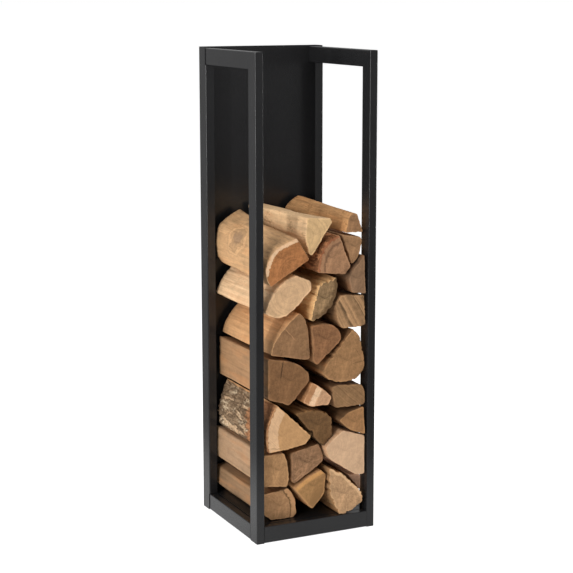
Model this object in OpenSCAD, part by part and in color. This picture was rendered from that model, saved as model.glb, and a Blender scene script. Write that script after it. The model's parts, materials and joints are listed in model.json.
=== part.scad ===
// Firewood log rack: a tall open frame of rectangular steel tube with a folded sheet back,
// a steel floor tray and a stack of split logs.
// The origin is on the ground under the middle of the rack. +Z is up and the open front faces -Y.

/* [Rack] */
// Width over the folded sides of the back panel
rack_w = 320; // [320:5:400]
// Depth from the front of the uprights to the back of the panel
rack_d = 330; // [330:5:400]
// Height to the top of the back panel
rack_h = 1170; // [900:10:1500]
// How far the back panel stands above the side rails
panel_rise = 3; // [0:1:10]

/* [Tube] */
// Narrow side of the tube, seen from the front
tube_w = 20; // [16:1:25]
// Wide side of the tube, seen from the side
tube_d = 40; // [35:1:50]
// Wall of the tube
tube_wall = 1.5; // [1:0.5:2.5]
// Radius on the outer corners of the tube
tube_corner = 2; // [1.5:0.5:3]

/* [Back panel] */
// Thickness of all the folded sheet
sheet = 1.5; // [1:0.5:2]
// Outer radius of the folds
fold_r = 2.5; // [2:0.5:4]
// Depth of each folded side where the rails run into it
side_depth = 38; // [30:1:45]
// How far the turned-in front lip stands forward of that
lip_step = 4; // [3:1:8]
// Depth of the return along the foot of the panel
foot_return = 20; // [10:1:30]

/* [Floor tray] */
// Height of the tray's turned-down edge
tray_edge = 25; // [20:1:35]
// Gap between the tray and the tubes around it
tray_gap = 1; // [0.5:0.5:2]
// Height of the screw line above the ground
screw_z = 28; // [26:1:30]

/* [Feet] */
// Thickness of the plastic pad under each front upright
foot_pad = 1; // [0.5:0.5:3]
// How far the foot plug reaches up into the upright
plug_depth = 22; // [15:1:40]

/* [Fasteners] */
// Thread radius of the countersunk panel screws
panel_screw_r = 3; // [2.5:0.5:3]
// Length of the panel screws
panel_screw_len = 16; // [12:1:20]
// Thread radius of the tray screws
tray_screw_r = 2.5; // [2:0.5:2.5]
// Length of the tray screws under the head
tray_screw_len = 12; // [8:1:12]

/* [Logs] */
// Length of a split log
log_len = 295; // [200:5:300]
// Gap between neighbouring logs
log_gap = 3; // [2:0.5:5]
// Least distance from the logs to the back panel
log_back_gap = 8; // [5:1:20]

/* [Hidden] */
$fn = 48;
eps = 0.5;                                // how far a cutter runs past the face it cuts
run_gap = 0.05;                           // radial play of a screw in its thread
fit_gap = 0.1;                            // play around a plug or block in a tube
front_y = -rack_d / 2;
back_y = rack_d / 2;
panel_y = back_y - sheet;                 // inner face of the back panel
rail_back_y = panel_y - (fold_r - sheet);  // the rails stop short of the inside of the panel's folds
frame_x = rack_w / 2 - sheet;             // outer faces of the tubes
bay_x = frame_x - tube_w;                 // inner faces of the tubes
tube_x = frame_x - tube_w / 2;            // centre line of the tubes
base_z = foot_pad;                        // underside of the tubes
floor_z = base_z + tube_d;                // top of the bottom rails and of the tray
rail_top_z = rack_h - panel_rise;
top_rail_z = rail_top_z - tube_d;
bore_w = tube_w - 2 * tube_wall - 2 * fit_gap;
bore_d = tube_d - 2 * tube_wall - 2 * fit_gap;
bore_r = max(tube_corner - tube_wall, 0.3);
block_depth = 12;                         // threaded block in the rear end of each rail
screw_pitch = 20;                         // distance between the two screws of one rail
head_r = 2 * panel_screw_r;               // countersunk head: a 90 degree cone
head_play = 0.1;
tray_x = bay_x - tray_gap;                // half width of the floor tray
tray_front_y = front_y + tube_w + tray_gap;
tray_back_y = panel_y - 2 * fit_gap;
tray_screw_x = 90;
tray_screw_y = [-80, 90];
return_inset = 2;                         // the foot return stops this far inside the tubes
plug_wall = 2;
nut_flange_t = tray_gap;
nut_flange_r = 4.5;
nut_barrel_r = tray_screw_r + 1.1;
nut_barrel_len = 9;
clinch_r = 2 * panel_screw_r;
clinch_t = 4;
button_r = 4.7;                           // button head of a tray screw
button_top_r = 3.2;
button_t = 2.4;
button_socket_r = 1.7;
button_socket_depth = 1.5;
askew_end_t = 1;                          // slice that stands for one end of a log lying askew

steel = [0.14, 0.14, 0.145];
plastic = [0.06, 0.06, 0.06];
zinc = [0.62, 0.63, 0.65];
wood = [0.72, 0.55, 0.38];

// Each log: how far its sawn end sits behind the front of the rack, and the corners [x, z] of that
// end on a 5 mm grid, clockwise from its top left. Neighbours may share a corner, because each end
// is drawn half a gap inside its corners. A third entry is the other end of a log that lies askew.
logs = [
    // on the floor tray
    [35, [[-130, 110], [-60, 120], [-40, 95], [-35, 50], [-45, 40], [-105, 40], [-135, 65]]],
    [15, [[-55, 120], [-25, 140], [20, 160], [35, 145], [30, 95], [-5, 60]]],
    [5, [[35, 165], [70, 150], [130, 90], [130, 65], [90, 40], [65, 40], [35, 95]]],
    [25, [[95, 135], [135, 130], [135, 90], [130, 90]]],
    // second layer
    [15, [[-135, 215], [-80, 215], [-70, 195], [-65, 145], [-70, 125], [-135, 135]]],
    [20, [[-60, 210], [15, 225], [25, 205], [30, 180], [5, 160], [-50, 130], [-60, 140]]],
    [5, [[25, 215], [50, 240], [75, 255], [135, 235], [135, 135], [110, 135], [35, 185]]],
    // third layer
    [5, [[-130, 295], [-105, 340], [-10, 250], [-25, 230], [-90, 220], [-130, 220], [-135, 250]]],
    [15, [[-50, 305], [-20, 315], [30, 305], [50, 285], [50, 240], [25, 215], [5, 235]]],
    [2, [[60, 280], [85, 300], [130, 310], [135, 250], [135, 235], [90, 250]]],
    // fourth layer
    [8, [[-125, 450], [-70, 440], [-35, 425], [-15, 405], [-15, 385], [-55, 340], [-70, 330],
         [-125, 350]]],
    [5, [[-10, 385], [20, 365], [45, 340], [35, 320], [-15, 320], [-35, 335]]],
    [5, [[40, 365], [60, 370], [125, 365], [135, 350], [135, 310], [50, 310]]],
    // fifth layer
    [12, [[-110, 480], [-90, 510], [-65, 535], [-40, 555], [-25, 540], [-15, 505], [-10, 440],
          [-20, 435], [-115, 455]]],
    [8, [[-10, 520], [25, 525], [55, 515], [70, 495], [70, 475], [5, 420], [-5, 430]]],
    [6, [[85, 490], [100, 505], [120, 485], [130, 440], [135, 415], [130, 395], [110, 375],
         [65, 370], [35, 380], [15, 400], [25, 420]]],
    // sixth layer
    [8, [[-115, 600], [-80, 635], [-50, 645], [-10, 630], [-10, 605], [-50, 565], [-80, 545],
         [-110, 545], [-135, 560]]],
    [5, [[-5, 580], [10, 620], [55, 635], [60, 620], [55, 585], [40, 555], [0, 530], [-15, 530]]],
    [5, [[65, 590], [130, 585], [135, 510], [120, 505], [70, 505], [55, 525], [50, 565]]],
    // seventh layer
    [8, [[15, 700], [35, 725], [65, 735], [95, 655], [80, 635], [5, 645], [5, 660]]],
    [15, [[70, 735], [125, 725], [130, 715], [120, 675], [100, 655]]],
    [4, [[95, 645], [130, 685], [135, 585], [95, 590], [85, 625]]],
    // on top of the stack
    [5, [[-125, 685], [-110, 710], [-80, 725], [-50, 735], [-15, 680], [-120, 620], [-135, 660]],
        [[-130, 730], [-95, 755], [-65, 770], [-50, 750], [-45, 700], [-50, 670], [-110, 630],
         [-130, 650], [-135, 685]]],
    [15, [[-20, 780], [45, 775], [50, 765], [-5, 685], [-15, 690], [-25, 725]],
         [[-40, 780], [0, 780], [5, 760], [-15, 705], [-35, 720]]],
    [12, [[90, 780], [105, 785], [115, 780], [130, 735], [80, 735]],
         [[60, 765], [75, 780], [100, 795], [120, 785], [130, 740], [60, 735]]],
];

function two_digits(n) = n < 10 ? str("0", n) : str(n);
LOG_NODES = [for (i = [0 : len(logs) - 1]) str("log_", two_digits(i + 1))];

// ---- shared shapes ----

module rounded_rect(w, d, r) {
    square([w - 2 * r, d], center = true);
    square([w, d - 2 * r], center = true);
    for (sx = [-1, 1], sy = [-1, 1])
        translate([sx * (w / 2 - r), sy * (d / 2 - r)]) circle(r);
}

// A length of tube standing on the ground, its section w by d
module tube(w, d, length) {
    linear_extrude(length) difference() {
        rounded_rect(w, d, tube_corner);
        rounded_rect(w - 2 * tube_wall, d - 2 * tube_wall, bore_r);
    }
}

// A tube lying along +Y from y0 to y1, its underside at z0
module rail(y0, y1, z0) {
    translate([0, y1, z0 + tube_d / 2]) rotate([90, 0, 0]) tube(tube_w, tube_d, y1 - y0);
}

// Turns +Z to point along +Y, for screws that are driven in from behind
module from_behind(x, z) {
    translate([x, back_y, z]) rotate([90, 0, 0]) children();
}

// Heights of the screws in the top and bottom rails
function rail_screw_z() = [for (z = [base_z, top_rail_z], s = [-1, 1])
    z + tube_d / 2 + s * screw_pitch / 2];

// ---- the steel frame ----

// Outline of the folded panel seen from above: a shallow C with turned-in lips
module panel_outline() {
    depth = side_depth + lip_step;
    translate([0, back_y - depth / 2]) difference() {
        rounded_rect(rack_w, depth, fold_r);
        rounded_rect(rack_w - 2 * sheet, depth - 2 * sheet, fold_r - sheet);
        translate([-bay_x, -depth / 2 - eps]) square([2 * bay_x, depth / 2]);
    }
}

// Clears the lips where a rail runs into the panel
module lip_notch(z0, z1) {
    depth = lip_step + eps;
    translate([-rack_w / 2 - eps, back_y - side_depth - depth, z0])
        cube([rack_w + 2 * eps, depth, z1 - z0]);
}

// Cone and hole for one countersunk panel screw
module countersink(r) {
    translate([0, 0, -eps]) cylinder(h = block_depth + 2 * sheet + eps, r = r + run_gap);
    translate([0, 0, -eps]) cylinder(h = head_r - r + eps, r1 = head_r + head_play + eps,
                                     r2 = r + head_play);
}

module back_panel() {
    color(steel) difference() {
        union() {
            linear_extrude(rack_h) panel_outline();
            translate([return_inset - bay_x, panel_y - foot_return, 0])
                cube([2 * (bay_x - return_inset), foot_return + sheet / 2, sheet]);
        }
        lip_notch(-eps, floor_z + tray_gap);
        lip_notch(top_rail_z - tray_gap, rack_h + eps);
        for (sx = [-1, 1], z = rail_screw_z()) from_behind(sx * tube_x, z) countersink(panel_screw_r);
        for (sx = [-1, 1]) from_behind(sx * tray_screw_x, screw_z) countersink(panel_screw_r);
    }
}

// Everything behind and above the 45 degree joint at the top front corner
module mitre_block() {
    translate([-tube_w, front_y, rail_top_z]) rotate([-45, 0, 0])
        translate([0, -rack_d, 0]) cube([2 * tube_w, 2 * rack_d, rack_d]);
}

module front_upright(side) {
    color(steel) translate([side * tube_x, 0, 0]) difference() {
        translate([0, front_y + tube_d / 2, base_z]) tube(tube_w, tube_d, rail_top_z - base_z);
        mitre_block();
    }
}

module top_rail(side) {
    color(steel) translate([side * tube_x, 0, 0]) intersection() {
        rail(front_y, rail_back_y, top_rail_z);
        mitre_block();
    }
}

// Where the rivet nuts of the tray sit in the inner wall of a bottom rail
module nut_hole() {
    translate([0, 0, -eps]) cylinder(h = tube_wall + 2 * eps, r = nut_barrel_r + run_gap);
}

module bottom_rail(side) {
    color(steel) difference() {
        translate([side * tube_x, 0, 0]) rail(front_y + tube_d, rail_back_y, base_z);
        for (y = tray_screw_y)
            translate([side * bay_x, y, screw_z]) rotate([0, side * 90, 0]) nut_hole();
    }
}

module front_bottom_rail() {
    color(steel) difference() {
        translate([-bay_x, front_y + tube_w / 2, base_z + tube_d / 2])
            rotate([0, 90, 0]) tube(tube_d, tube_w, 2 * bay_x);
        for (sx = [-1, 1])
            translate([sx * tray_screw_x, front_y + tube_w, screw_z]) rotate([90, 0, 0]) nut_hole();
    }
}

// ---- floor and feet ----

module floor_tray() {
    inner = [2 * (tray_x - sheet), tray_back_y - tray_front_y - 2 * sheet];
    color(steel) difference() {
        translate([-tray_x, tray_front_y, floor_z - tray_edge])
            cube([2 * tray_x, tray_back_y - tray_front_y, tray_edge]);
        translate([-tray_x + sheet, tray_front_y + sheet, floor_z - tray_edge - eps])
            cube([inner[0], inner[1], tray_edge - sheet + eps]);
        for (sx = [-1, 1], y = tray_screw_y)
            translate([sx * tray_x, y, screw_z]) rotate([0, -sx * 90, 0]) screw_hole(tray_screw_r);
        for (sx = [-1, 1]) {
            translate([sx * tray_screw_x, tray_front_y, screw_z]) rotate([-90, 0, 0])
                screw_hole(tray_screw_r);
            from_behind(sx * tray_screw_x, screw_z) countersink(panel_screw_r);
        }
    }
}

module screw_hole(r) {
    translate([0, 0, -eps]) cylinder(h = sheet + 2 * eps, r = r + 2 * fit_gap);
}

// Plastic plug in the open bottom end of a front upright, with the pad it stands on
module foot_plug(side) {
    color(plastic) translate([side * tube_x, front_y + tube_d / 2, 0]) {
        linear_extrude(foot_pad) rounded_rect(tube_w, tube_d, tube_corner);
        translate([0, 0, foot_pad / 2]) linear_extrude(plug_depth + foot_pad / 2) difference() {
            rounded_rect(bore_w, bore_d, bore_r);
            rounded_rect(bore_w - 2 * plug_wall, bore_d - 2 * plug_wall, bore_r);
        }
    }
}

// ---- fasteners ----

// Threaded block in the rear end of each rail
module rail_end_blocks() {
    color(zinc) for (sx = [-1, 1], z0 = [base_z, top_rail_z]) difference() {
        translate([sx * tube_x, panel_y, z0 + tube_d / 2]) rotate([90, 0, 0])
            linear_extrude(block_depth) rounded_rect(bore_w, bore_d, bore_r);
        for (s = [-1, 1]) from_behind(sx * tube_x, z0 + tube_d / 2 + s * screw_pitch / 2)
            countersink(panel_screw_r);
    }
}

// Countersunk screw with a hexagon socket, its head flush with the ground and its tip up
module countersunk_screw() {
    socket_r = 0.6 * panel_screw_r;
    difference() {
        union() {
            translate([0, 0, head_play])
                cylinder(h = head_r - panel_screw_r, r1 = head_r, r2 = panel_screw_r);
            translate([0, 0, head_play]) cylinder(h = panel_screw_len - head_play, r = panel_screw_r);
        }
        cylinder(h = panel_screw_r, r = socket_r, $fn = 6);
    }
}

module back_panel_screws() {
    color(steel) {
        for (sx = [-1, 1], z = rail_screw_z()) from_behind(sx * tube_x, z) countersunk_screw();
        for (sx = [-1, 1]) from_behind(sx * tray_screw_x, screw_z) countersunk_screw();
    }
}

// Nuts pressed on the rear edge of the tray
module clinch_nuts() {
    color(zinc) for (sx = [-1, 1])
        translate([sx * tray_screw_x, tray_back_y - sheet, screw_z]) rotate([90, 0, 0])
            difference() {
                cylinder(h = clinch_t, r = clinch_r);
                translate([0, 0, -eps]) cylinder(h = clinch_t + 2 * eps, r = panel_screw_r + run_gap);
            }
}

// Rivet nut with its flange on the tube's face and its barrel pointing up
module rivet_nut() {
    difference() {
        union() {
            translate([0, 0, -nut_flange_t]) cylinder(h = nut_flange_t, r = nut_flange_r);
            cylinder(h = nut_barrel_len, r = nut_barrel_r);
        }
        translate([0, 0, -nut_flange_t - eps])
            cylinder(h = nut_barrel_len + nut_flange_t + 2 * eps, r = tray_screw_r + run_gap);
    }
}

// Puts its child at each of the six fixing points in the bottom rails, +Z into the tube
module at_tray_fixings() {
    for (sx = [-1, 1], y = tray_screw_y)
        translate([sx * bay_x, y, screw_z]) rotate([0, sx * 90, 0]) children();
    for (sx = [-1, 1])
        translate([sx * tray_screw_x, front_y + tube_w, screw_z]) rotate([90, 0, 0]) children();
}

module rivet_nuts() {
    color(zinc) at_tray_fixings() rivet_nut();
}

// Button head screw through the edge of the tray into a rivet nut
module tray_screw() {
    head_seat = -tray_gap - sheet;
    difference() {
        union() {
            translate([0, 0, head_seat]) cylinder(h = tray_screw_len, r = tray_screw_r);
            translate([0, 0, head_seat - button_t])
                cylinder(h = button_t, r1 = button_top_r, r2 = button_r);
        }
        translate([0, 0, head_seat - button_t - eps])
            cylinder(h = button_socket_depth + eps, r = button_socket_r, $fn = 6);
    }
}

module floor_tray_screws() {
    color(zinc) at_tray_fixings() tray_screw();
}

// ---- the logs ----

// A prism that starts with a sawn end at y = 0 and runs back
module log_prism(corners, length) {
    translate([0, length, 0]) rotate([90, 0, 0])
        linear_extrude(length) offset(delta = -log_gap / 2) polygon(corners);
}

// A log that would reach too near the back panel is cut shorter
module log_piece(entry) {
    start_y = front_y + entry[0];
    length = min(log_len, panel_y - log_back_gap - start_y);
    color(wood) translate([0, start_y, 0]) {
        if (len(entry) == 2) log_prism(entry[1], length);
        else hull() {
            log_prism(entry[1], askew_end_t);
            translate([0, length - askew_end_t, 0]) log_prism(entry[2], askew_end_t);
        }
    }
}

back_panel();
front_upright(-1);  // front_upright_left
front_upright(1);  // front_upright_right
top_rail(-1);  // top_rail_left
top_rail(1);  // top_rail_right
bottom_rail(-1);  // bottom_rail_left
bottom_rail(1);  // bottom_rail_right
front_bottom_rail();
floor_tray();
foot_plug(-1);  // foot_plug_left
foot_plug(1);  // foot_plug_right
rail_end_blocks();
back_panel_screws();
clinch_nuts();
rivet_nuts();
floor_tray_screws();
for (i = [0 : len(logs) - 1]) log_piece(logs[i]);
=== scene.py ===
"""Looks of the firewood log rack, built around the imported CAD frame.

Metres, +Z up, the open front faces -Y. Steel, plastic and fasteners keep their CAD meshes and get
procedural finishes. Each split log is replaced by a detailed mesh that follows the section of its CAD
log, and whose faces stand at most SWELL outside it.
"""
import json
import math

import bpy
import numpy as np
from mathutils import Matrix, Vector, noise


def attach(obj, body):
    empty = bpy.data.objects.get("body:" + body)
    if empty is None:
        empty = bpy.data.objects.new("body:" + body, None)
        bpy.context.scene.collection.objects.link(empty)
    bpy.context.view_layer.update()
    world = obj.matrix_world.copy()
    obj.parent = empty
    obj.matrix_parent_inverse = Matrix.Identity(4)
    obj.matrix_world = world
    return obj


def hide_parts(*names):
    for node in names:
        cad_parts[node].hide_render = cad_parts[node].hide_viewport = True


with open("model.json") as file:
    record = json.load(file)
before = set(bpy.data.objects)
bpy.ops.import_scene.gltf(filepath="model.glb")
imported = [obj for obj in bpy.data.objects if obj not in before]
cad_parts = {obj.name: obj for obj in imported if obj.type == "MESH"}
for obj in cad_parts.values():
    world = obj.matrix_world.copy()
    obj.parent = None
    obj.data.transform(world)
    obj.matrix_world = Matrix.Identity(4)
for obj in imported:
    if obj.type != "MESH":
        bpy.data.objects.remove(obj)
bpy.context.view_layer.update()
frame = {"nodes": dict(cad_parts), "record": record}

CAD = frame["nodes"]
SLOT_OF = {s["node"]: s["material_slot"] for s in frame["record"]["subparts"]}
MM = 0.001


def rgb(r, g, b):
    """Display colour, 0 to 255, as the linear colour that shaders take."""
    linear = [(v / 255 / 12.92) if v < 10.3 else ((v / 255 + 0.055) / 1.055) ** 2.4 for v in (r, g, b)]
    return (*linear, 1.0)


# ---- camera and light ----

CAMERA_AT = (-1.630, -3.411, 1.297)
CAMERA_AZIMUTH = 25.76      # degrees to the right of +Y
CAMERA_PITCH = 10.0         # degrees down
CAMERA_LENS = 98.2
CAMERA_SHIFT = (-0.0111, -0.030)

RACK_MIDDLE = Vector((0, 0, 0.58))
SOFTBOXES = {               # place, size, power in watts; all look at the middle of the rack
    "key_left": ((-2.6, -1.0, 1.5), (2.2, 2.2), 30),
    "fill_front": ((0.6, -3.0, 2.6), (1.6, 1.6), 3),
    "top": ((0.0, 0.2, 3.2), (1.6, 1.6), 29),
    "strip_left": ((-2.35, -1.3, 0.95), (0.12, 1.3), 25),
    "strip_right": ((2.4, -0.6, 0.95), (0.12, 1.3), 18),
}
STUDIO_LIGHT = 0.43         # strength of the even light from all round
WHITE = (1, 1, 1, 1)

FLOOR_HALF = 200.0          # half its side, so long that its edge isn't seen
FLOOR_LIGHT = 0.63          # its own light, which makes it as white as the background
NEAR_FLOOR = 0.25, 0.9      # in the shine of the steel the floor is bright this near, and dim beyond that
NEAR_FLOOR_GLOW = 0.52      # how much brighter it is near by
BRIGHT_WAY = (-0.43, 0.90, 0)           # where the studio looks brightest in that shine
BRIGHT_SPREAD = 0.9         # cosine of the angle from that way at which it is at its brightest
BRIGHT_SIDE, DIM_SIDE = 0.30, 0.08      # how bright it looks there, and on the other side


def make_camera():
    data = bpy.data.cameras.new("camera")
    data.lens = CAMERA_LENS
    data.shift_x, data.shift_y = CAMERA_SHIFT
    camera = bpy.data.objects.new("camera", data)
    camera.location = CAMERA_AT
    camera.rotation_euler = (math.radians(90 - CAMERA_PITCH), 0, -math.radians(CAMERA_AZIMUTH))
    bpy.context.scene.collection.objects.link(camera)
    bpy.context.scene.camera = camera


def make_softboxes():
    for name, (at, size, power) in SOFTBOXES.items():
        data = bpy.data.lights.new(name, "AREA")
        data.shape = "RECTANGLE"
        data.size, data.size_y = size
        data.energy = power
        light = bpy.data.objects.new(name, data)
        light.location = at
        light.rotation_euler = (RACK_MIDDLE - Vector(at)).to_track_quat("-Z", "Y").to_euler()
        bpy.context.scene.collection.objects.link(light)


def make_world():
    """Even light from all round, with plain white behind everything that the camera sees."""
    world = bpy.data.worlds.new("studio")
    world.use_nodes = True
    tree = world.node_tree
    tree.nodes["Background"].inputs["Color"].default_value = WHITE
    tree.nodes["Background"].inputs["Strength"].default_value = STUDIO_LIGHT
    seen = tree.nodes.new("ShaderNodeBackground")
    seen.inputs["Color"].default_value = WHITE
    mix = tree.nodes.new("ShaderNodeMixShader")
    path = tree.nodes.new("ShaderNodeLightPath")
    tree.links.new(path.outputs["Is Camera Ray"], mix.inputs["Fac"])
    tree.links.new(tree.nodes["Background"].outputs[0], mix.inputs[1])
    tree.links.new(seen.outputs[0], mix.inputs[2])
    tree.links.new(mix.outputs[0], tree.nodes["World Output"].inputs["Surface"])
    bpy.context.scene.world = world


def make_floor():
    mesh = bpy.data.meshes.new("floor")
    corners = [(FLOOR_HALF * x, FLOOR_HALF * y, 0) for x, y in ((-1, -1), (1, -1), (1, 1), (-1, 1))]
    mesh.from_pydata(corners, [], [(0, 1, 2, 3)])
    mesh.materials.append(floor_white())
    floor = bpy.data.objects.new("floor", mesh)
    bpy.context.scene.collection.objects.link(floor)


def floor_white():
    """White floor. In the shine of the steel only the floor close by is bright; beyond, it is as dim as
    a studio is, more so in front on the right than behind on the left."""
    paint = Paint("floor_white")
    tone = paint.noise(paint.coords(), scale=3, detail=2)
    paint.set(color=paint.ramp(tone, [(0.3, (0.86, 0.86, 0.86, 1)), (0.7, (0.90, 0.90, 0.90, 1))]),
              roughness=0.9, specular=0.1)
    paint.shader.inputs["Emission Color"].default_value = WHITE
    paint.shader.inputs["Emission Strength"].default_value = FLOOR_LIGHT
    mirrored = paint.node("Emission")
    path = paint.node("LightPath")
    near, beyond = NEAR_FLOOR
    glow = paint.times(paint.band(path.outputs["Ray Length"], beyond, near), NEAR_FLOOR_GLOW)
    way = paint.node("VectorMath", operation="NORMALIZE")
    paint.feed(way.inputs[0], paint.coords())
    toward = paint.node("VectorMath", operation="DOT_PRODUCT")
    paint.feed(toward.inputs[0], way.outputs[0])
    toward.inputs[1].default_value = BRIGHT_WAY
    bright = paint.band(toward.outputs["Value"], -BRIGHT_SPREAD, BRIGHT_SPREAD)
    far = paint.plus(paint.times(bright, BRIGHT_SIDE - DIM_SIDE), DIM_SIDE)
    paint.feed(mirrored.inputs["Strength"], paint.plus(glow, far))
    mix = paint.node("MixShader")
    paint.feed(mix.inputs["Fac"], path.outputs["Is Glossy Ray"])
    paint.feed(mix.inputs[1], paint.shader.outputs[0])
    paint.feed(mix.inputs[2], mirrored.outputs[0])
    paint.feed(paint.tree.nodes["Material Output"].inputs["Surface"], mix.outputs[0])
    return paint.material


# ---- shader helper ----

class Paint:
    """One procedural material: a Principled shader and the nodes that feed it."""

    def __init__(self, name):
        self.material = bpy.data.materials.new(name)
        self.material.use_nodes = True
        self.tree = self.material.node_tree
        self.shader = self.tree.nodes["Principled BSDF"]

    def node(self, kind, **settings):
        made = self.tree.nodes.new("ShaderNode" + kind)
        for key, value in settings.items():
            setattr(made, key, value)
        return made

    def feed(self, socket, value):
        """Links an output to a socket, or sets the socket to a plain value."""
        if isinstance(value, bpy.types.NodeSocket):
            self.tree.links.new(value, socket)
        else:
            socket.default_value = value

    def coords(self):
        """Place in the object, in metres."""
        return self.node("TexCoord").outputs["Object"]

    def attribute(self, name, output="Fac"):
        return self.node("Attribute", attribute_name=name).outputs[output]

    def stretched(self, vector, factors):
        made = self.node("VectorMath", operation="MULTIPLY")
        self.feed(made.inputs[0], vector)
        made.inputs[1].default_value = factors
        return made.outputs[0]

    def noise(self, vector, detail, scale=1.0, roughness=0.55, distortion=0.0):
        made = self.node("TexNoise")
        self.feed(made.inputs["Vector"], vector)
        made.inputs["Scale"].default_value = scale
        made.inputs["Detail"].default_value = detail
        made.inputs["Roughness"].default_value = roughness
        made.inputs["Distortion"].default_value = distortion
        return made.outputs["Fac"]

    def noise_along(self, w, detail=3.0, roughness=0.6):
        """Noise in one dimension."""
        made = self.node("TexNoise", noise_dimensions="1D")
        self.feed(made.inputs["W"], w)
        made.inputs["Scale"].default_value = 1.0
        made.inputs["Detail"].default_value = detail
        made.inputs["Roughness"].default_value = roughness
        return made.outputs["Fac"]

    def math(self, operation, a, b=0.0):
        made = self.node("Math", operation=operation)
        self.feed(made.inputs[0], a)
        self.feed(made.inputs[1], b)
        return made.outputs[0]

    def plus(self, a, b):
        return self.math("ADD", a, b)

    def minus(self, a, b):
        return self.math("SUBTRACT", a, b)

    def times(self, a, b):
        return self.math("MULTIPLY", a, b)

    def wander(self, noise, size):
        """A shift that follows a noise, by at most half of size each way."""
        return self.times(self.minus(noise, 0.5), size)

    def band(self, value, low, high):
        """0 at low and beyond, 1 at high and beyond, smooth between. Low may be the larger."""
        made = self.node("MapRange", interpolation_type="SMOOTHSTEP")
        self.feed(made.inputs["Value"], value)
        made.inputs["From Min"].default_value = low
        made.inputs["From Max"].default_value = high
        return made.outputs["Result"]

    def ramp(self, factor, stops):
        made = self.node("ValToRGB")
        elements = made.color_ramp.elements
        while len(elements) < len(stops):
            elements.new(0.5)
        for element, (place, color) in zip(elements, stops):
            element.position = place
            element.color = color
        self.feed(made.inputs["Fac"], factor)
        return made.outputs["Color"]

    def mix(self, factor, a, b):
        """Colour a where factor is 0, and b where it is 1."""
        made = self.node("Mix", data_type="RGBA")
        self.feed(made.inputs["Factor"], factor)
        for letter, color in (("A", a), ("B", b)):
            self.feed(self.color_socket(made.inputs, letter), color)
        return self.color_socket(made.outputs, "Result")

    @staticmethod
    def color_socket(sockets, name):
        return next(s for s in sockets if s.name == name and s.type == "RGBA")

    def bump(self, height, distance, strength):
        made = self.node("Bump")
        self.feed(made.inputs["Height"], height)
        made.inputs["Distance"].default_value = distance
        made.inputs["Strength"].default_value = strength
        return made.outputs["Normal"]

    def set(self, color=None, roughness=None, specular=None, metallic=None, normal=None):
        for name, value in (("Base Color", color), ("Roughness", roughness),
                            ("Specular IOR Level", specular), ("Metallic", metallic),
                            ("Normal", normal)):
            if value is not None:
                self.feed(self.shader.inputs[name], value)
        return self.material


# ---- steel, plastic and fasteners ----

def powder_coat():
    paint = Paint("black_powder_coat")
    where = paint.coords()
    grit = paint.noise(where, scale=1400, detail=2)
    orange_peel = paint.noise(where, scale=420, detail=3)
    cloud = paint.noise(where, scale=9, detail=4)
    texture = paint.plus(paint.times(grit, 0.5), orange_peel)
    return paint.set(color=paint.ramp(cloud, [(0.3, rgb(27, 27, 28)), (0.7, rgb(31, 31, 32))]),
                     roughness=paint.plus(paint.times(orange_peel, 0.10), 0.20),
                     specular=0.5, normal=paint.bump(texture, 0.02 * MM, 0.25))


def moulded_plastic():
    paint = Paint("black_plastic")
    grain = paint.noise(paint.coords(), scale=900, detail=3)
    return paint.set(color=paint.ramp(grain, [(0.3, rgb(24, 24, 24)), (0.7, rgb(31, 31, 31))]),
                     roughness=paint.plus(paint.times(grain, 0.2), 0.5),
                     specular=0.4, normal=paint.bump(grain, 0.05 * MM, 0.6))


def black_screw():
    paint = Paint("black_screws")
    stain = paint.noise(paint.coords(), scale=500, detail=4)
    return paint.set(color=paint.ramp(stain, [(0.3, rgb(30, 30, 32)), (0.7, rgb(46, 45, 45))]),
                     roughness=paint.plus(paint.times(stain, 0.3), 0.25),
                     metallic=0.6, normal=paint.bump(stain, 0.03 * MM, 0.5))


def zinc_plate():
    paint = Paint("zinc_plated_steel")
    bloom = paint.noise(paint.coords(), scale=260, detail=5)
    return paint.set(color=paint.ramp(bloom, [(0.3, rgb(176, 178, 180)), (0.7, rgb(205, 207, 210))]),
                     roughness=paint.plus(paint.times(bloom, 0.3), 0.2),
                     metallic=1.0, normal=paint.bump(bloom, 0.02 * MM, 0.5))


def dress_steel():
    finish = {"black_powder_coat": powder_coat(), "black_plastic": moulded_plastic(),
              "black_screws": black_screw(), "zinc_plated_steel": zinc_plate()}
    for name, node in CAD.items():
        if SLOT_OF[name] in finish:
            for slot in node.material_slots:
                slot.material = finish[SLOT_OF[name]]


# ---- wood ----

def shade(color, factor):
    return (color[0] * factor, color[1] * factor, color[2] * factor, 1.0)


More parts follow.
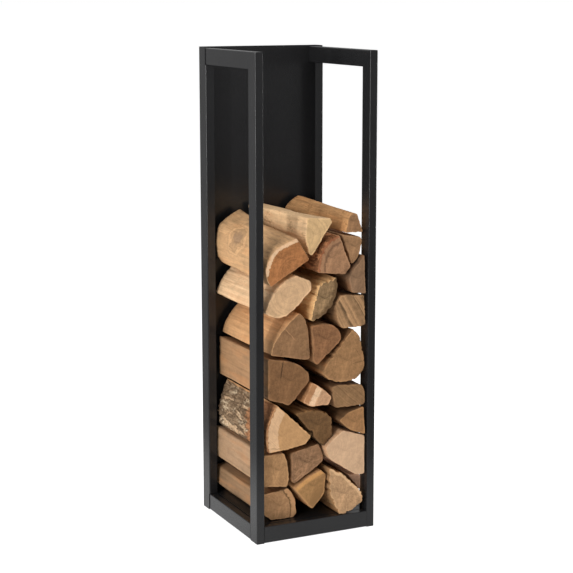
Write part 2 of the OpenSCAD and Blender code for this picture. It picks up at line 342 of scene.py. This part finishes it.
class Wood(Paint):
    """A paint that knows where it is in its log: grain is the place in metres from the middle of the
    front end, with Y along the log."""

    def __init__(self, name):
        super().__init__(name)
        self.grain = self.attribute("grain", "Vector")

    def project(self, way):
        made = self.node("VectorMath", operation="DOT_PRODUCT")
        self.feed(made.inputs[0], self.grain)
        made.inputs[1].default_value = way
        return made.outputs["Value"]

    def distance(self, place):
        made = self.node("VectorMath", operation="DISTANCE")
        self.feed(made.inputs[0], self.grain)
        made.inputs[1].default_value = place
        return made.outputs["Value"]

    def fibres(self, across, along, **settings):
        """Noise with so many waves in a metre across the log and along it."""
        return self.noise(self.stretched(self.grain, (across, along, across)), **settings)

    def weighted(self, *parts):
        """Weighted mean of several values, each part being a value and its weight."""
        total = None
        for value, weight in parts:
            term = self.times(value, weight / sum(w for _, w in parts))
            total = term if total is None else self.plus(total, term)
        return total

    def tones(self, factor, color, contrast, *stops):
        """The colour made darker and lighter, each stop being a place and a change of tone."""
        return self.ramp(factor, [(place, shade(color, 1 + change * contrast)) for place, change in stops])

    def stroke(self, start, stop, width, noise):
        """1 on a slightly wandering line across the end, from start to stop, and 0 away from it.
        Places and width are in mm."""
        a, b = Vector(start) * MM, Vector(stop) * MM
        way = (b - a).normalized()
        across = self.minus(self.project((-way.y, 0, way.x)), -way.y * a.x + way.x * a.y)
        across = self.plus(across, self.wander(noise, 6 * MM))
        along = self.minus(self.project((way.x, 0, way.y)), way.dot(a))
        near = self.band(self.math("ABSOLUTE", across), width * MM, 0.3 * width * MM)
        first = self.band(along, -2 * MM, 3 * MM)
        last = self.band(along, (b - a).length + 2 * MM, (b - a).length - 6 * MM)
        return self.times(near, self.times(first, last))


def split_side(name, color, look):
    """A face that the axe left: long fibres along the log, soft streaks and blotches, painted shade in
    creases, and some dirt.
    """
    paint = Wood(name)
    fibre = paint.fibres(700, 16, detail=3)
    streak = paint.fibres(130, 4.5, detail=5, distortion=0.5)
    broad = paint.fibres(40, 6, detail=4)
    patch = paint.noise(paint.grain, scale=34, detail=6, roughness=0.62)
    speck = paint.fibres(300, 110, detail=3, roughness=0.7)
    crease = paint.fibres(150, 2.2, detail=2, distortion=0.3)
    contrast = look.get("side_contrast", 1.0)
    mixed = paint.weighted((streak, 0.26), (fibre, 0.14), (broad, 0.28), (patch, 0.32))
    tone = paint.tones(mixed, color, contrast, (0.34, -0.44), (0.45, -0.13), (0.55, 0.12), (0.66, 0.38))
    # Darker lines along the fibres where the crease noise is low: painted shade of creases, which the bump
    # doesn't carve.
    crease_shade_mask = paint.times(paint.band(crease, 0.36, 0.29), 0.4 * min(contrast, 2))
    tone = paint.mix(crease_shade_mask, tone, shade(color, 0.45))
    stained = paint.band(paint.weighted((patch, 0.6), (speck, 0.4)), 0.52, 0.62)
    tone = paint.mix(paint.times(stained, look.get("dirt", 0.25)), tone, rgb(112, 78, 46))
    tone = paint.mix(paint.times(paint.band(broad, 0.50, 0.64), 0.25), tone, rgb(170, 110, 62))
    height = paint.plus(paint.times(fibre, 0.5), streak)
    if "knot" in look:
        place, size = Vector(look["knot"][0]) * MM, look["knot"][1] * MM
        far = paint.plus(paint.distance(place), paint.wander(patch, 1.8 * size))
        swirl = paint.noise_along(paint.times(far, 3.2 / size))
        around = paint.tones(swirl, color, 1, (0.36, -0.50), (0.5, -0.08), (0.62, 0.45))
        tone = paint.mix(paint.times(paint.band(far, 2.1 * size, 1.2 * size), 0.75), tone, around)
        tone = paint.mix(paint.times(paint.band(far, 1.0 * size, 0.6 * size), 0.8), tone, rgb(134, 108, 84))
        height = paint.plus(height, paint.times(paint.band(far, 1.8 * size, 0), swirl))
    return paint.set(color=tone, roughness=0.82, specular=0.2, normal=paint.bump(height, 0.9 * MM, 0.8))


def sawn_end(name, color, look):
    """The sawn end: growth rings and rays round the pith, saw marks, a pale broken rim, and strokes."""
    paint = Wood(name)
    patch = paint.noise(paint.grain, scale=34, detail=5, roughness=0.6)
    mottle = paint.noise(paint.grain, scale=115, detail=4, roughness=0.65)
    speck = paint.noise(paint.grain, scale=430, detail=2)
    wobble = paint.times(paint.noise(paint.grain, scale=16, detail=2), 12 * MM)
    ragged = paint.wander(mottle, 14 * MM)
    ring_place = paint.plus(paint.attribute("pith_distance"), wobble)
    rings = paint.noise_along(paint.times(ring_place, look.get("ring_scale", 300)), detail=2)
    rays = paint.noise_along(paint.times(paint.attribute("pith_angle"), 26))
    way = math.radians(look.get("saw_way", 75))
    across = paint.plus(paint.project((-math.sin(way), 0, math.cos(way))), wobble)
    saw = paint.noise_along(paint.times(across, look.get("saw_scale", 420)), detail=2)
    mixed = paint.weighted((rings, look.get("rings", 0.07)), (rays, 0.06), (saw, look.get("saw", 0.08)),
                           (patch, 0.32), (mottle, 0.34), (speck, 0.14))
    tone = paint.tones(mixed, color, look.get("contrast", 1.0),
                       (0.35, -0.50), (0.45, -0.17), (0.55, 0.17), (0.65, 0.52))
    if "heart" in look:
        near, far, dark = look["heart"]
        tone = paint.mix(paint.band(ring_place, far * MM, near * MM), tone, shade(color, dark))

    soft = look.get("soft", 1.0) * MM
    edge = paint.plus(paint.attribute("bark_distance"), ragged)
    for low, high, display in look.get("bands", ()):
        within = paint.times(paint.band(edge, low * MM - soft, low * MM + soft),
                             paint.band(edge, high * MM + soft, high * MM - soft))
        marked = paint.tones(mixed, rgb(*display), 1, (0.38, -0.38), (0.5, 0), (0.62, 0.3))
        tone = paint.mix(within, tone, paint.mix(0.7, rgb(*display), marked))

    rim = paint.band(paint.plus(paint.attribute("rim_distance"), ragged), 3.6 * MM, 1.2 * MM)
    broken = paint.times(paint.band(patch, 0.38, 0.56), look.get("rim", 0.6))
    tone = paint.mix(paint.times(rim, broken), tone, shade(color, 1.55))
    height = paint.weighted((rings, 0.3), (saw, 0.3), (speck, 0.4))
    for start, stop, width, strength in look.get("strokes", ()):
        line = paint.stroke(start, stop, width, mottle)
        tone = paint.mix(line, tone, shade(color, strength))
        if strength < 0.5:
            height = paint.minus(height, paint.times(line, 2.0))
    if "shake" in look:
        past = paint.minus(paint.plus(ring_place, ragged), look["shake"] * MM)
        crack = paint.band(paint.math("ABSOLUTE", past), 3.2 * MM, 0.8 * MM)
        tone = paint.mix(paint.times(paint.band(past, 0, 3 * MM), 0.5), tone, shade(color, 1.35))
        tone = paint.mix(crack, tone, shade(color, 0.42))
    return paint.set(color=tone, roughness=0.88, specular=0.15, normal=paint.bump(height, 0.6 * MM, 0.7))


def bark(name, dark, mid, pale, peeled=None):
    """Bark in ridges along the log. Peeled gives how many metres of it have come off at the front end,
    and the colour underneath."""
    paint = Wood(name)
    furrow = paint.fibres(62, 17, detail=6, roughness=0.62, distortion=0.6)
    lichen = paint.fibres(40, 24, detail=6, roughness=0.72)
    fine = paint.fibres(380, 150, detail=3)
    plate = paint.math("ABSOLUTE", paint.minus(furrow, 0.5))
    tone = paint.tones(furrow, mid, 1, (0.36, -0.4), (0.5, 0), (0.64, 0.5))
    tone = paint.mix(paint.times(paint.band(lichen, 0.52, 0.62), 0.7), tone, pale)
    # Dark in the furrows, where the bump sinks them: partly the bark's own darker colour there, partly
    # painted shade.
    tone = paint.mix(paint.times(paint.band(plate, 0.030, 0.008), 0.85), tone, dark)
    tone = paint.mix(paint.times(paint.band(fine, 0.52, 0.40), 0.55), tone, shade(dark, 1.1))
    height = paint.plus(paint.times(paint.band(plate, 0.0, 0.06), 0.8), paint.times(fine, 0.35))
    if peeled:
        reach_back, bare = peeled
        edge = paint.plus(paint.project((0, 1, 0)), paint.wander(lichen, 0.12))
        smooth = paint.tones(fine, bare, 1, (0.35, -0.25), (0.65, 0.2))
        tone = paint.mix(paint.band(edge, reach_back, reach_back - 6 * MM), tone, smooth)
    return paint.set(color=tone, roughness=0.95, specular=0.1, normal=paint.bump(height, 3.0 * MM, 0.9))


# ---- the split logs ----

AROUND = 144                # points round a log
ALONG = 40                  # rings of points along it, without those at its ends
CAP_RINGS = 11              # rings from the rim of a sawn end to its middle
CAP_PRESS = 1.15            # above 1, those rings lie closer together near the rim
SHARP_TURN = 38             # degrees; flatter corners of most sections are stretches of a curve
ROUND_LOG = 60              # the same for a log that still has the round of the trunk
CORNER_CUT = 2 * MM         # how far a sharp corner is cut back in each pass of rounding
ROUNDING_PASSES = 3
HARD_EDGE = math.radians(50)            # faces that turn by more than this are shaded apart
RIM_BEVEL = 0.7 * MM        # bevel round a sawn end

SWELL = 1.0 * MM            # a log's face may stand this far outside its CAD section
SPLIT_DEPTH = 1.4 * MM      # how deep the texture of a split face goes
BARK_DEPTH = {"grey": 4.5 * MM, "red": 2.5 * MM, "dark": 3.0 * MM, "chips": 2.5 * MM, "clean": 0.8 * MM}
CHIP_DEPTH = 16 * MM        # how deep the chips torn out of a face can go
BARK_FADE = 16              # change in the outline's direction, in degrees, over which bark ends
BARK_END = 0.35             # share of the bark's relief that is left at the front end, where it has worn
UNWORN = 6                  # share that comes back in each metre from there
SAW_PRESS, SAW_DENT = 0.2 * MM, 0.25 * MM   # how far a sawn end lies behind its rim, give or take
PITH_OUT = 1.05             # how far out the pith of a split log lies, its inner edge being at 1
END_SLICE = 0.1 * MM        # corners this near an end of a CAD log belong to it

# noise in the shape of a log: waves in a metre across the fibres, and along them
WAVES = 26, 5
RIDGES = 95, 7
FIBRES = 260, 26
TEARS = 120, 9
FURROWS, PLATES = (85, 30), (60, 40)    # of the bark
SAW_MARKS = 130, 1                      # of the ends

# What sets each log apart. Lengths and places are in mm, and places are [x, z] or [x, y, z] from the
# middle of the front end.
#   outer       the way in which its bark side looked, in degrees from +X towards +Z
#   end, side   display colours of the sawn end and of the split faces
#   bark        its kind, and half the angle that it covers, in degrees. Where it is clean or chips, the
#               bark has come off and left the round of the trunk, smooth or rough
#   bands       rings on the end: from and to, counted from the bark, and display colour
#   soft        how far the edges of these rings fade
#   heart       another tone round the pith: full within a distance, none beyond the next, and the tone
#   pith        its place, where it isn't at the inner edge
#   shake       distance from the pith of a crack along a growth ring
#   strokes     lines on the end: from, to, half width and tone. A tone below 0.5 is a groove as well
#   rings, saw  share of growth rings and of saw marks in the end's pattern
#   ring_scale, saw_scale, saw_way    how fine these are, and the slant of the saw marks in degrees
#   contrast, side_contrast           strength of the pattern on the end, and on the split faces
#   rim, dirt   strength of the pale broken rim of the end, and of the stains on the split faces
#   jagged      how torn the outline is
#   knot        place and size
#   sharp_turn  degrees, where it isn't SHARP_TURN
LOOKS = {
    "log_01": {"outer": 200, "end": (166, 127, 90), "side": (137, 107, 78), "pith": (-51, -14),
               "shake": 83},
    "log_02": {"outer": 118, "end": (145, 109, 70), "side": (176, 132, 90), "bark": ("clean", 40),
               "bands": [(-9, 11, (186, 138, 86))], "soft": 3, "heart": (20, 70, 0.8)},
    "log_03": {"outer": 45, "end": (164, 130, 96), "side": (150, 116, 80), "bark": ("chips", 45),
               "bands": [(-9, 6, (196, 160, 120))], "jagged": 0.7, "contrast": 1.2},
    # log_04's split faces get a paler colour to make up for the shade they get among the other logs:
    # painted light.
    "log_04": {"outer": 45, "end": (162, 128, 104), "side": (206, 166, 136)},
    "log_05": {"outer": 180, "end": (150, 114, 78), "side": (159, 128, 98)},
    "log_06": {"outer": 250, "end": (130, 98, 71), "side": (120, 90, 62), "contrast": 1.6,
               "strokes": [((-36, -40), (-12, -22), 2.6, 1.5), ((-30, -20), (-18, -10), 1.8, 1.4)]},
    "log_07": {"outer": -20, "end": (185, 152, 121), "side": (188, 150, 116), "rings": 0.1,
               "contrast": 0.5, "rim": 0.3, "jagged": 0},
    "log_08": {"outer": 176, "end": (168, 129, 88), "side": (190, 148, 104), "bark": ("grey", 62),
               "bands": [(4, 30, (192, 156, 120)), (-9, 4, (128, 86, 58))], "contrast": 0.6,
               "strokes": [((-30, -27), (-4, -30), 1.2, 0.55)], "saw_way": 130, "saw": 0.25},
    "log_09": {"outer": 215, "end": (100, 73, 46), "side": (136, 102, 66), "bark": ("dark", 40),
               "jagged": 0.8, "rim": 0.7, "pith": (-6, 62), "contrast": 1.2},
    "log_10": {"outer": 20, "end": (139, 102, 67), "side": (104, 76, 50), "jagged": 0.1},
    "log_11": {"outer": 20, "end": (113, 81, 53), "side": (154, 118, 84),
               "strokes": [((-20, 60), (-28, 8), 1.7, 0.35)], "rim": 0.8},
    "log_12": {"outer": 158, "end": (170, 132, 100), "side": (150, 108, 72), "rings": 0.1,
               "bark": ("clean", 35), "bands": [(16, 32, (206, 172, 138)), (-9, 16, (158, 114, 78))],
               "soft": 2},
    "log_13": {"outer": 0, "end": (125, 95, 65), "side": (112, 82, 56), "bark": ("dark", 40),
               "saw_way": -40, "saw_scale": 260, "saw": 0.5, "jagged": 0.3},
    "log_14": {"outer": 130, "end": (126, 94, 65), "side": (195, 150, 106),
               "strokes": [((-23, 22), (4, -8), 1.5, 1.5)], "rim": 0.4},
    "log_15": {"outer": 60, "end": (120, 84, 56), "side": (136, 100, 68), "contrast": 1.3, "rim": 0.8},
    "log_16": {"outer": 0, "end": (138, 103, 69), "side": (120, 88, 58), "jagged": 0.4,
               "strokes": [((14, -8), (46, -4), 1.1, 0.55), ((20, 30), (34, 8), 0.9, 0.6)]},
    "log_17": {"outer": 215, "end": (184, 150, 114), "side": (216, 180, 140), "rings": 0.35,
               "ring_scale": 130, "contrast": 0.7, "pith": (4, 6)},
    "log_18": {"outer": -20, "end": (124, 99, 70), "side": (214, 172, 120), "contrast": 1.7,
               "bark": ("dark", 60), "bands": [(-9, 8, (92, 70, 46))], "jagged": 0.8, "soft": 5,
               "rim": 0.2},
    "log_19": {"outer": 0, "end": (141, 109, 77), "side": (130, 98, 68), "saw_way": -60,
               "saw_scale": 100, "saw": 1.1, "rings": 0, "contrast": 1.6},
    "log_20": {"outer": 165, "end": (142, 106, 77), "side": (150, 112, 80), "bark": ("red", 62),
               "bands": [(14, 20, (112, 82, 60)), (-9, 5, (134, 82, 54))], "rim": 0.4, "soft": 2},
    "log_21": {"outer": 60, "end": (144, 109, 77), "side": (150, 114, 82)},
    "log_22": {"outer": 0, "end": (122, 94, 70), "side": (110, 84, 62)},
    "log_23": {"outer": 128, "end": (145, 96, 58), "side": (186, 147, 106), "rings": 0.1,
               "bands": [(-9, 9, (206, 170, 134))], "bark": ("clean", 60), "contrast": 1.3, "rim": 0.3,
               "knot": ((-42, 184, 28), 28), "side_contrast": 1.3, "sharp_turn": ROUND_LOG},
    "log_24": {"outer": 10, "end": (185, 153, 111), "side": (214, 178, 136), "rings": 0.4,
               "ring_scale": 120, "dirt": 0.5, "contrast": 0.7},
    "log_25": {"outer": 100, "end": (134, 100, 70), "side": (184, 138, 92), "dirt": 0.6,
               "side_contrast": 1.6, "sharp_turn": ROUND_LOG},
}


def hull(points):
    """Corners of the convex outline of some flat points, anticlockwise, to 0.01 mm."""
    ordered = sorted(set((round(float(x), 5), round(float(z), 5)) for x, z in points))

    def half(seq):
        chain = []
        for p in seq:
            while len(chain) > 1 and ((chain[-1][0] - chain[-2][0]) * (p[1] - chain[-2][1])
                                      - (chain[-1][1] - chain[-2][1]) * (p[0] - chain[-2][0])) <= 1e-9:
                chain.pop()
            chain.append(p)
        return chain[:-1]
    return np.array(half(ordered) + half(ordered[::-1]))


def soften(corners, sharp_turn):
    """Rounds a section: sharp corners a little, and flatter ones into a curve."""
    for _ in range(ROUNDING_PASSES):
        before, after = np.roll(corners, 1, 0), np.roll(corners, -1, 0)
        a, b = corners - before, after - corners
        turn = np.degrees(np.arctan2(a[:, 0] * b[:, 1] - a[:, 1] * b[:, 0], (a * b).sum(1)))
        long_a, long_b = np.linalg.norm(a, axis=1), np.linalg.norm(b, axis=1)
        shorter = np.minimum(long_a, long_b)
        cut = np.where(turn > sharp_turn, np.minimum(CORNER_CUT, 0.3 * shorter), 0.25 * shorter)
        first = corners - a * (cut / long_a)[:, None]
        second = corners + b * (cut / long_b)[:, None]
        corners = np.stack([first, second], 1).reshape(-1, 2)
    return corners


def reach(corners, middle, angles):
    """How far the outline lies from its middle in each direction: the ray that goes that way meets the
    line through the side from a to b after t, at the share s of that side."""
    a = corners - middle
    b = np.roll(a, -1, 0)
    d = np.stack([np.cos(angles), np.sin(angles)], 1)
    cross = a[:, 0] * b[:, 1] - a[:, 1] * b[:, 0]
    along = d[:, None, 0] * (b - a)[None, :, 1] - d[:, None, 1] * (b - a)[None, :, 0]
    safe = np.where(np.abs(along) < 1e-12, 1e-12, along)
    t = cross[None] / safe
    s = (a[None, :, 0] * d[:, None, 1] - a[None, :, 1] * d[:, None, 0]) / safe
    t = np.where((s >= -1e-6) & (s <= 1 + 1e-6) & (t > 0), t, np.inf)
    return t.min(1)


def sections(node, sharp_turn):
    """The two ends of a CAD log: y, middle and softened corners of each."""
    points = np.array([v.co for v in CAD[node].data.vertices])
    ends = []
    for y in (points[:, 1].min(), points[:, 1].max()):
        outline = hull(points[np.abs(points[:, 1] - y) < END_SLICE][:, [0, 2]])
        ends.append((y, outline.mean(0), soften(outline, sharp_turn)))
    return ends


def rough(place, seed, waves):
    """Noise at a place, with so many waves in a metre across the log and along it."""
    x, y, z = place
    across, along = waves
    return noise.noise(Vector((x * across + seed, y * along + 2 * seed, z * across - seed)))


def gap_to_outline(points, outline):
    """Distance of each point from a closed outline."""
    a, b = outline, np.roll(outline, -1, 0)
    ab = b - a
    ap = points[:, None] - a[None]
    t = np.clip((ap * ab[None]).sum(2) / np.maximum((ab * ab).sum(1), 1e-12)[None], 0, 1)
    return np.linalg.norm(ap - t[:, :, None] * ab[None], axis=2).min(1)


def gap_to_points(points, others):
    """Distance of each point from the nearest of some others, and 1 m where there are none."""
    if not len(others):
        return np.ones(len(points))
    return np.linalg.norm(points[:, None] - others[None], axis=2).min(1)


def outward(look):
    """The way in which the log's bark side looked."""
    angle = math.radians(look["outer"])
    return np.array([math.cos(angle), math.sin(angle)])


def bark_cover(ring, look):
    """1 at the points of an outline that are bark, 0 at those that are split. Bark is where the normal
    of the outline looks outward."""
    kind, spread = look.get("bark", (None, 0))
    if not kind:
        return np.zeros(AROUND)
    tangent = np.roll(ring, -1, 0) - np.roll(ring, 1, 0)
    normal = np.stack([tangent[:, 1], -tangent[:, 0]], 1) / np.linalg.norm(tangent, axis=1)[:, None]
    away = np.degrees(np.arccos(np.clip(normal @ outward(look), -1, 1)))
    return np.clip((spread + BARK_FADE / 2 - away) / BARK_FADE, 0, 1)


def sunk_by(place, seed, cover, depth, jagged, worn):
    """How far inside its CAD section a point of a log's face lies. Worn is the share of the bark's
    relief that is left."""
    sunk = 0.5 - 0.45 * rough(place, seed + 7, WAVES) - jagged * rough(place, seed + 3, FIBRES)
    if cover > 0:
        furrow = max(0, 1 - 5 * abs(rough(place, seed, FURROWS)))
        sunk += cover * (0.5 * furrow - 0.3 * rough(place, seed + 5, PLATES))
        sunk *= 1 - cover * (1 - worn)
    sunk -= (1 - cover) * 0.45 * rough(place, seed, RIDGES)
    torn = jagged * max(0, rough(place, seed + 9, TEARS) - 0.08) * CHIP_DEPTH
    return max(-SWELL, min(depth * 1.6 * sunk - SWELL, 3 * depth) + torn)


def face_points(front, back, seed, look):
    """Points of the log's faces, ring by ring from the front end to the back one, and its bark cover."""
    (y0, mid0, shape0), (y1, mid1, shape1) = front, back
    angles = np.arange(AROUND) * 2 * math.pi / AROUND
    ways = np.stack([np.cos(angles), np.sin(angles)], 1)
    reach0, reach1 = reach(shape0, mid0, angles), reach(shape1, mid1, angles)
    covers = bark_cover(mid0 + ways * reach0[:, None], look)
    kind = look.get("bark", (None, 0))[0]
    depths = SPLIT_DEPTH + (BARK_DEPTH.get(kind, 0) - SPLIT_DEPTH) * covers
    bevel = RIM_BEVEL / (y1 - y0)
    points = []
    for t in np.concatenate([[0], np.linspace(bevel, 1 - bevel, ALONG), [1]]):
        y = y0 + (y1 - y0) * t
        worn = min(1, BARK_END + UNWORN * (y - y0))
        outline = mid0 + (mid1 - mid0) * t + ways * (reach0 + (reach1 - reach0) * t)[:, None]
        for (x, z), way, cover, depth in zip(outline, ways, covers, depths):
            inward = sunk_by((x, y, z), seed, cover, depth, look.get("jagged", 0.2), worn)
            if t in (0, 1):
                inward += RIM_BEVEL
            points.append((x - way[0] * inward, y, z - way[1] * inward))
    return np.array(points), covers


def cap_points(rim, y, inward, seed):
    """Points of a sawn end: rings that shrink from its rim to its middle."""
    centre = rim.mean(0)
    points = []
    for c in range(1, CAP_RINGS):
        scale = 1 - (c / CAP_RINGS) ** CAP_PRESS
        for x, z in centre + (rim - centre) * scale:
            dent = SAW_DENT * rough((x, seed, z), seed, SAW_MARKS)
            points.append((x, y + inward * (SAW_PRESS + dent), z))
    points.append((centre[0], y + inward * SAW_PRESS, centre[1]))
    return points


def cap_faces(first, start, inward):
    """Faces of a sawn end: first is the number of its rim's first point, start that of its own."""
    loops = [range(first, first + AROUND)]
    loops += [range(start + c * AROUND, start + (c + 1) * AROUND) for c in range(CAP_RINGS - 1)]
    after = [(j + 1) % AROUND for j in range(AROUND)]
    faces = [(a[j], b[j], b[n], a[n]) for a, b in zip(loops, loops[1:]) for j, n in enumerate(after)]
    inmost, middle = loops[-1], start + (CAP_RINGS - 1) * AROUND
    faces += [(inmost[j], middle, inmost[n]) for j, n in enumerate(after)]
    return faces if inward > 0 else [face[::-1] for face in faces]


def build_log(node, look, seed):
    """Mesh of a log, with split faces in material slot 0, sawn ends in 1 and bark in 2."""
    front, back = sections(node, look.get("sharp_turn", SHARP_TURN))
    points, covers = face_points(front, back, seed, look)
    last = len(points) - AROUND
    faces, slots = [], []
    for first in range(0, last, AROUND):
        for j, cover in enumerate(covers):
            n = (j + 1) % AROUND
            faces.append((first + j, first + n, first + AROUND + n, first + AROUND + j))
            slots.append(2 if cover > 0.5 else 0)

    rim_gap, bark_gap = np.zeros(len(points)), np.ones(len(points))
    for first, y, inward in ((0, front[0], 1), (last, back[0], -1)):
        rim = points[first:first + AROUND][:, [0, 2]]
        cap = np.array(cap_points(rim, y, inward, seed))
        more = cap_faces(first, len(points), inward)
        faces += more
        slots += [1] * len(more)
        barked = rim[covers > 0.5]
        bark_gap[first:first + AROUND] = gap_to_points(rim, barked)
        bark_gap = np.concatenate([bark_gap, gap_to_points(cap[:, [0, 2]], barked)])
        rim_gap = np.concatenate([rim_gap, gap_to_outline(cap[:, [0, 2]], rim)])
        points = np.concatenate([points, cap])

    mesh = bpy.data.meshes.new(node + "_wood")
    mesh.from_pydata([tuple(map(float, p)) for p in points], [], faces)
    mesh.polygons.foreach_set("material_index", slots)
    mesh.update()
    mesh.shade_smooth()
    mesh.set_sharp_from_angle(angle=HARD_EDGE)
    measure(mesh, points, front, look, rim_distance=rim_gap, bark_distance=bark_gap)
    return mesh


def measure(mesh, points, front, look, **distances):
    """Stores what the wood's materials read at each point of a log."""
    y, middle, shape = front
    grain = np.stack([points[:, 0] - middle[0], points[:, 1] - y, points[:, 2] - middle[1]], 1)
    mesh.attributes.new("grain", "FLOAT_VECTOR", "POINT").data.foreach_set(
        "vector", grain.astype(np.float32).ravel())
    if "pith" in look:
        pith = np.array(look["pith"]) * MM
    else:       # opposite the bark
        pith = PITH_OUT * ((shape - middle) @ outward(look)).min() * outward(look)
    away = points[:, [0, 2]] - middle - pith
    distances["pith_distance"] = np.linalg.norm(away, axis=1)
    distances["pith_angle"] = np.arctan2(away[:, 1], away[:, 0])
    for name, values in distances.items():
        mesh.attributes.new(name, "FLOAT", "POINT").data.foreach_set("value", values.astype(np.float32))


def make_logs():
    barks = {
        "grey": bark("bark_grey", rgb(82, 62, 46), rgb(156, 130, 102), rgb(218, 196, 164),
                     peeled=(0.13, rgb(158, 112, 78))),
        "red": bark("bark_red", rgb(118, 78, 52), rgb(148, 101, 68), rgb(176, 130, 92)),
        "dark": bark("bark_dark", rgb(54, 40, 28), rgb(104, 80, 54), rgb(150, 120, 84)),
    }
    for number, (node, look) in enumerate(LOOKS.items(), 1):
        mesh = build_log(node, look, seed=number * 1.7)
        side = split_side(node + "_side", rgb(*look["side"]), look)
        mesh.materials.append(side)
        mesh.materials.append(sawn_end(node + "_end", rgb(*look["end"]), look))
        mesh.materials.append(barks.get(look.get("bark", (None,))[0], side))
        piece = bpy.data.objects.new("split_" + node, mesh)
        bpy.context.scene.collection.objects.link(piece)
        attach(piece, node)
        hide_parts(node)


make_camera()
make_world()
make_floor()
make_softboxes()
bpy.context.scene.view_settings.view_transform = "Standard"
dress_steel()
make_logs()
